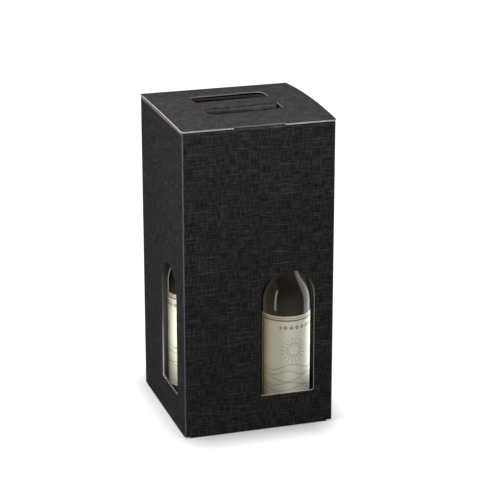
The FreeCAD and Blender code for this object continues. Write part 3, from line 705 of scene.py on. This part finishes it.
def fluteStrip(name, path, outward, body, material, printed=(0.0, 0.0, 1.0)):
    # path runs along the middle of the cut face, and printed is the way the black paper faces. A section
    # across is a closed loop: the relief in front, proud times the larger of the liners and of a band round
    # the sine wave, and a flat back sunk in the board
    points, at = resample(path, flutes["pitch"] / flutes["stepsPerPitch"])
    facing = outward(points)
    facing = facing / np.linalg.norm(facing, axis=1)[:, None]
    sideways = facing * 0 + printed
    share = np.linspace(0, 1, flutes["stepsAcross"])
    wave = 0.5 + flutes["waveShare"] * np.sin(2 * np.pi * at / flutes["pitch"])
    medium = np.abs(share[None, :] - wave[:, None]) / flutes["mediumShare"]
    liner = np.minimum(share, 1 - share)[None, :] / flutes["linerShare"]
    most, slope = flutes["fall"]
    paper = np.clip(most - np.minimum(medium, liner) * slope, 0, 1)
    lift = paper * flutes["proud"] + flutes["least"]
    spread = (share - 0.5) * box["board"] * flutes["frontShare"]
    front = (points[:, None, :] + sideways[:, None, :] * spread[None, :, None]
             + facing[:, None, :] * lift[:, :, None])
    backReach = sideways * (box["board"] * flutes["backShare"])
    sunk = points - facing * flutes["sunk"]
    loop = np.concatenate([front, (sunk + backReach)[:, None, :], (sunk - backReach)[:, None, :]], axis=1)
    rows, columns = loop.shape[:2]
    index = np.arange(rows * columns).reshape(rows, columns)
    following = np.roll(index, -1, axis=1)
    sides = np.stack([index[:-1], index[1:], following[1:], following[:-1]], axis=-1).reshape(-1, 4)
    faces = sides.tolist() + [index[0].tolist(), index[-1][::-1].tolist()]
    facesIn = np.sum(np.cross(points[1] - points[0], sideways[0]) * facing[0]) < 0
    if facesIn:
        faces = [face[::-1] for face in faces]
    piece = addMesh(name, loop.reshape(-1, 3).tolist(), faces, body, [material])
    pale = np.where(share < flutes["outerLiner"], paper, 0)
    values = np.concatenate([pale, np.zeros((rows, 2))], axis=1).astype(np.float32)
    attribute = piece.data.attributes.new("paper", "FLOAT", "POINT")
    attribute.data.foreach_set("value", values.ravel())


def lidLevel(x, y):
    # the lid's upper face: it bows up in the middle of its depth, more to the right
    rise = box["riseLeft"] + (box["riseRight"] - box["riseLeft"]) * (x / box["halfWidth"] / 2 + 0.5)
    return box["height"] + rise * (1 - (y / box["halfWidth"]) ** 2)


def arc(centre, radius, start, end, count=12):
    # points of an arc in a plane, in degrees
    angles = np.radians(np.linspace(start, end, count))
    return np.stack([centre[0] + radius * np.cos(angles), centre[1] + radius * np.sin(angles)], axis=1)


handle = {
    "left": -42.5 * mm,
    "right": 47.5 * mm,
    "straps": {-1: -7.0 * mm, 1: 23.0 * mm},     # where the strap's front and back sides are
    "slotWidth": 30.0 * mm,
    "corner": 10.0 * mm,
    "innerRelief": 4.0 * mm,
    "innerPlay": 1.5 * mm,
}


def slotPath(side, level, relief, play=0.0):
    # the three free sides of a slot: down one end, along the far side and back up the other end. relief
    # widens the slot towards the strap, and play lengthens it at both ends
    strap, corner = handle["straps"][side], handle["corner"]
    left, right = handle["left"] - play, handle["right"] + play
    turnAt = strap + side * (handle["slotWidth"] - corner)
    near = strap - side * relief
    farWay = 180 - 90 * side
    flat = np.concatenate([
        [[left, near]],
        arc((left + corner, turnAt), corner, 180, farWay),
        arc((right - corner, turnAt), corner, farWay, 180 - 180 * side),
        [[right, near]],
    ])
    return np.column_stack([flat, level(flat[:, 0], flat[:, 1])])


def slotOutward(side, play=0.0):
    # from the cut face towards the nearest point of the slot less its rounded corners
    corner = handle["corner"]
    left, right = handle["left"] - play + corner, handle["right"] + play - corner
    middle = handle["straps"][side] + side * handle["slotWidth"] / 2
    reach = handle["slotWidth"] / 2 - corner

    def outward(points):
        nearX = np.clip(points[:, 0], left, right)
        nearY = np.clip(points[:, 1], middle - reach, middle + reach)
        return np.column_stack([nearX - points[:, 0], nearY - points[:, 1], points[:, 0] * 0])
    return outward


window = {
    "width": 66 * mm,
    "sill": 42 * mm,
    "spring": 161 * mm,
    "corner": 3 * mm,
    "offsets": {"front": 34 * mm, "right": 34 * mm, "back": 22 * mm, "left": 26 * mm},
    "turns": {"front": 0, "right": 90, "back": 180, "left": 270},
}


def windowPath(offset):
    # sill, right side, half circle and left side, as a closed line of (across, up)
    left, right = offset - window["width"] / 2, offset + window["width"] / 2
    sill, spring, corner = window["sill"], window["spring"], window["corner"]
    return np.concatenate([
        [[offset, sill]],
        arc((right - corner, sill + corner), corner, -90, 0, 6),
        arc((offset, spring), window["width"] / 2, 0, 180, 60),
        arc((left + corner, sill + corner), corner, 180, 270, 6),
        [[offset, sill]],
    ])


def windowStrip(wall, material):
    # the path stands on the front wall's middle line and is turned to its own wall
    offset = window["offsets"][wall]
    flat = windowPath(offset)
    depth = -(box["halfWidth"] - box["board"] / 2)
    turn = math.radians(window["turns"][wall])
    spin = np.array([[math.cos(turn), math.sin(turn), 0], [-math.sin(turn), math.cos(turn), 0], [0, 0, 1]])
    path = np.column_stack([flat[:, 0], flat[:, 0] * 0 + depth, flat[:, 1]]) @ spin
    reach = window["width"] / 2 - window["corner"]

    def outward(points):
        # towards the arch's centre above the spring, and towards the inside of the rounded rectangle below it
        own = points @ spin.T
        top = own[:, 2] > window["spring"]
        nearX = np.where(top, offset, np.clip(own[:, 0], offset - reach, offset + reach))
        nearZ = np.where(top, window["spring"], np.maximum(own[:, 2], window["sill"] + window["corner"]))
        towards = np.column_stack([nearX - own[:, 0], own[:, 1] * 0, nearZ - own[:, 2]])
        return towards @ spin

    acrossWall = np.array([0.0, -1.0, 0.0]) @ spin
    fluteStrip(f"window_edge_{wall}", path, outward, "box", material, acrossWall)


topEdges = {
    "lidInset": 0.1 * mm,
    "hingeClear": 1.8 * mm,       # how far before the hinge the lid's side strips end
    "lidSteps": 60,
    "innerInset": 0.5 * mm,
    "innerBack": 4.0 * mm,
}


def lidEdges(material, slotMaterial):
    half = box["halfWidth"]

    def middle(x, y):
        return lidLevel(x, y) - box["board"] / 2

    y = np.linspace(-half + topEdges["lidInset"], half - topEdges["hingeClear"], topEdges["lidSteps"])
    for name, side in (("left", -1.0), ("right", 1.0)):
        path = np.column_stack([y * 0 + side * half, y, middle(side * half, y)])
        fluteStrip(f"lid_edge_{name}", path, oneWay(side, 0.0, 0.0), "top", material)
    for name, first, last in (("front_left", -half, -box["tabHalf"]), ("front_right", box["tabHalf"], half)):
        path = np.array([(x, -half, middle(0, -half)) for x in (first, last)])
        fluteStrip(f"lid_edge_{name}", path, oneWay(0.0, -1.0, 0.0), "top", material)
    for name, side in (("front", -1), ("back", 1)):
        path = slotPath(side, middle, box["fold"])
        fluteStrip(f"lid_slot_edge_{name}", path, slotOutward(side), "top", slotMaterial)


def innerFlapEdges(material, slotMaterial):
    half = box["halfWidth"]
    height = box["height"] - box["board"] * 1.5 - box["lidGap"]

    def level(x, y):
        return x * 0 + height

    play = handle["innerPlay"]
    for name, side in (("front", -1), ("back", 1)):
        path = slotPath(side, level, handle["innerRelief"], play)
        fluteStrip(f"inner_slot_edge_{name}", path, slotOutward(side, play), "box", slotMaterial)
    for name, side in (("left", -1.0), ("right", 1.0)):
        x = side * (half - topEdges["innerInset"])
        path = np.array([(x, y, height) for y in (-half + box["fold"], half - topEdges["innerBack"])])
        fluteStrip(f"inner_flap_edge_{name}", path, oneWay(side, 0.0, 0.0), "box", material)


# Stage, light and camera

studio = {
    "cameraPlace": (-0.6443, -2.0876, 0.9333),
    "cameraPitch": 0.3267,
    "cameraTurn": -0.3068,
    "lens": 140.83,
    "sensorWidth": 36.0,
    "clipEnd": 100.0,
    "floorSize": 30.0,
    "floorShade": 0.22,        # as the camera sees it
    "bounceShade": 0.12,       # as the light that it throws back on the box sees it
    # how bright the floor glows to the camera: by the box, a hand's width away, and far off. The weaker glow
    # by the box is painted shadow
    "floorGlow": (0.12, 0.82, 1.0),
    "glowReach": ((0.0, 0.075), (0.5, 2.2)),
    "glowFoot": (0.055, 0.08),         # half the sides of the rectangle that it grows from
    "skyStrength": 0.05,
    # name: place and what it is aimed at, then width, height, power, colour and what it shows in
    "lamps": {
        "leftPanel": ((-0.8, -0.3, 1.0), (0, 0, 0.35),
                      0.5, 0.9, 21.0, (1, 1, 1), "all"),
        "frontPanel": ((0.1, -0.52, 1.15), (0, 0, 0.36),
                       0.9, 0.35, 10.8, (1, 1, 1), "all"),
        "rightPanel": ((1.5, 0.15, 0.8), (0, 0, 0.2),
                       1.7, 1.3, 18.0, (0.86, 0.92, 1), "all"),
        "backPanel": ((0.1, 1.3, 0.9), (0, 0, 0.2),
                      0.9, 0.9, 12.0, (1, 1, 1), "diffuse"),
        "topPanel": ((0.0, 0.45, 2.0), (0, 0, 0.3),
                     1.4, 1.0, 11.5, (1, 1, 1), "all"),
        # small ones in the box: the glints and the veil on the front right bottle's shoulder, the green light
        # that its glass would pass on to the wall, fill light on the labels, and the back left bottle's rim
        "rightGlint": ((0.087, -0.060, 0.118), (0.047, -0.060, 0.118),
                       0.030, 0.136, 0.036, (0.88, 0.93, 1), "all"),
        "leftGlint": ((0.002, -0.0735, 0.150), (0.047, -0.0445, 0.150),
                      0.009, 0.046, 0.009, (1, 0.97, 0.9), "glossy"),
        "leftVeil": ((0.0015, -0.050, 0.148), (0.047, -0.050, 0.148),
                     0.07, 0.08, 0.009, (1, 0.93, 0.82), "glossy"),
        "greenWall": ((0.078, -0.035, 0.15), (0.0882, -0.03, 0.13),
                      0.03, 0.03, 0.006, (0.42, 0.52, 0.24), "diffuse"),
        "labelFill": ((0.004, -0.072, 0.10), (0.047, -0.045, 0.10),
                      0.01, 0.11, 0.0028, (1, 0.91, 0.68), "diffuse"),
        "shoulderFill": ((0.045, -0.070, 0.208), (0.02, -0.02, 0.15),
                         0.04, 0.012, 0.006, (1, 0.9, 0.8), "diffuse"),
        "leftFill": ((-0.083, -0.002, 0.086), (-0.055, 0.035, 0.082),
                     0.012, 0.088, 0.036, (1, 1, 0.97), "diffuse"),
        "leftRim": ((-0.080, 0.080, 0.150), (-0.0441, 0.0445, 0.150),
                    0.012, 0.07, 0.003, (1, 1, 0.88), "glossy"),
    },
}


def addFloor():
    # white to the camera, and dim to the box, so that it throws little light back
    half = studio["floorSize"] / 2
    corners = [(-half, -half, 0), (half, -half, 0), (half, half, 0), (-half, half, 0)]
    mesh = bpy.data.meshes.new("floor")
    mesh.from_pydata(corners, [], [(0, 1, 2, 3)])
    material, tree, shader = newMaterial("floorPaper")
    shader.inputs["Roughness"].default_value = 1.0
    shader.inputs["Specular IOR Level"].default_value = 0.0
    seen = tree.nodes.new("ShaderNodeLightPath").outputs["Is Camera Ray"]
    shade = add(tree, studio["bounceShade"],
                multiply(tree, seen, studio["floorShade"] - studio["bounceShade"]))
    put(tree, shader.inputs["Base Color"], join(tree, shade, shade, shade))
    shader.inputs["Emission Color"].default_value = (1, 1, 1, 1)
    # the glow grows in two steps with the distance from a rectangle under the box, so that the floor by the
    # box is darker, a painted shadow
    point = split(tree, objectPlace(tree))
    beyond = [larger(tree, subtract(tree, magnitude(tree, point[i]), reach), 0.0)
              for i, reach in enumerate(studio["glowFoot"])]
    distance = maths(tree, "SQRT", add(tree, *[multiply(tree, way, way) for way in beyond]))
    glows = studio["floorGlow"]
    glow = glows[0]
    for (near, far), last, following in zip(studio["glowReach"], glows, glows[1:]):
        glow = add(tree, glow, multiply(tree, ramp(tree, distance, near, far), following - last))
    put(tree, shader.inputs["Emission Strength"], multiply(tree, seen, glow))
    mesh.materials.append(material)
    floor = bpy.data.objects.new("floor", mesh)
    bpy.context.collection.objects.link(floor)


def addSky():
    # white to the camera, and dim to everything else
    world = bpy.data.worlds.new("studio")
    world.use_nodes = True
    tree = world.node_tree
    background = tree.nodes["Background"]
    background.inputs["Color"].default_value = (1, 1, 1, 1)
    seen = tree.nodes.new("ShaderNodeLightPath").outputs["Is Camera Ray"]
    strength = add(tree, multiply(tree, seen, 1 - studio["skyStrength"]), studio["skyStrength"])
    put(tree, background.inputs["Strength"], strength)
    bpy.context.scene.world = world


def addLamps():
    for name, (place, aim, width, height, power, colour, shownIn) in studio["lamps"].items():
        lamp = bpy.data.lights.new(name, "AREA")
        lamp.shape = "RECTANGLE"
        lamp.size, lamp.size_y = width, height
        lamp.energy, lamp.color = power, colour
        holder = bpy.data.objects.new(name, lamp)
        holder.location = place
        holder.rotation_euler = (Vector(aim) - Vector(place)).to_track_quat("-Z", "Y").to_euler()
        holder.visible_camera = False
        holder.visible_glossy = shownIn != "diffuse"
        holder.visible_diffuse = shownIn != "glossy"
        bpy.context.collection.objects.link(holder)


def addCamera():
    camera = bpy.data.cameras.new("camera")
    camera.lens = studio["lens"]
    camera.sensor_width = studio["sensorWidth"]
    camera.clip_end = studio["clipEnd"]
    holder = bpy.data.objects.new("camera", camera)
    holder.location = studio["cameraPlace"]
    holder.rotation_euler = Euler((math.pi / 2 - studio["cameraPitch"], 0.0, studio["cameraTurn"]))
    bpy.context.collection.objects.link(holder)
    bpy.context.scene.camera = holder


addCamera()
addFloor()
addSky()
addLamps()
bpy.context.scene.view_settings.view_transform = "Standard"
print("stage, light and camera are set")

boardPapers = [linenPaper(), innerPaper(), cutPaper()]
dressCarton(boardPapers)
dressLid(boardPapers)
divider = dividerBoard()
paint("divider_lengthwise", divider)
paint("divider_crosswise", divider)
glass = darkGlass()
foil = capsuleFoil()
for place in places:
    paint(f"bottle_{place}", glass)
    paint(f"capsule_{place}", foil)
    paint(f"label_{place}", labelPaper(place))
print("papers, glass and foil are on")

# painted light and shade in the raw edges' tones: paler on the lid, darker at the slots and on the inner
# flap's sides, nearly black at the inner flap's slots, darker and bluish at the left window
shadedEdgePaper = flutePaper("slotEdgePaintedShade", *flutes["slotPaintedShadeTones"])
windowPaper = flutePaper("windowEdge", *flutes["windowShades"])
lidEdges(flutePaper("lidEdge", *flutes["lidPaintedLightTones"]), shadedEdgePaper)
innerFlapEdges(shadedEdgePaper, flutePaper("innerSlotEdgePaintedShade", *flutes["innerSlotPaintedShadeTones"]))
leftWindowShadedPaper = flutePaper("leftWindowEdgePaintedShade", *flutes["leftWindowPaintedShadeTones"])
for wall in window["turns"]:
    windowStrip(wall, leftWindowShadedPaper if wall == "left" else windowPaper)
print("raw edges are laid")
